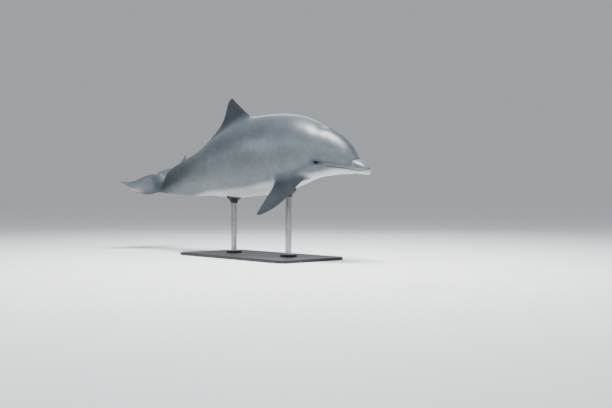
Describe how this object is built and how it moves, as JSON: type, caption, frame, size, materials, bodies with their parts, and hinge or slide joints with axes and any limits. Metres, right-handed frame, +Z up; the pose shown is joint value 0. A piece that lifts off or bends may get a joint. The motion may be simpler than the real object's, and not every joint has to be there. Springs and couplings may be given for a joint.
{
  "type": "bottlenose dolphin",
  "caption": "Life-size bottlenose dolphin, swimming with an arched back and the mouth closed, held on a plain display stand by rods under the belly.",
  "frame": {"origin": "centre of the underside of the stand's base, on the floor", "axes": "+X toward the dolphin's head, +Y to the dolphin's left, +Z up"},
  "size_m": [2.5275, 0.6266, 1.1794],
  "materials": {
    "skin_mid": "smooth wet skin, mid grey",
    "skin_pale": "smooth wet skin, pale grey",
    "skin_dark": "smooth wet skin, dark grey",
    "eye": "clear gloss, dark brown",
    "stand_paint": "satin dark grey powder coat",
    "stand_steel": "fine brushed"
  },
  "bodies": {
    "root": {"head": "skin_mid", "upper_jaw": "skin_mid", "neck": "skin_mid", "chest": "skin_mid", "midbody": "skin_mid", "loin": "skin_mid", "tail_stock_front": "skin_mid", "tail_stock_rear": "skin_mid", "lower_jaw": "skin_pale", "dorsal_fin": "skin_dark", "flipper_left": "skin_dark", "flipper_right": "skin_dark", "fluke_left": "skin_dark", "fluke_right": "skin_dark", "eye_left": "eye", "eye_right": "eye", "stand_base": "stand_paint", "stand_foot_front": "stand_paint", "stand_foot_rear": "stand_paint", "stand_saddle_front": "stand_paint", "stand_saddle_rear": "stand_paint", "stand_rod_front": "stand_steel", "stand_rod_rear": "stand_steel"}
  },
  "joints": []
}
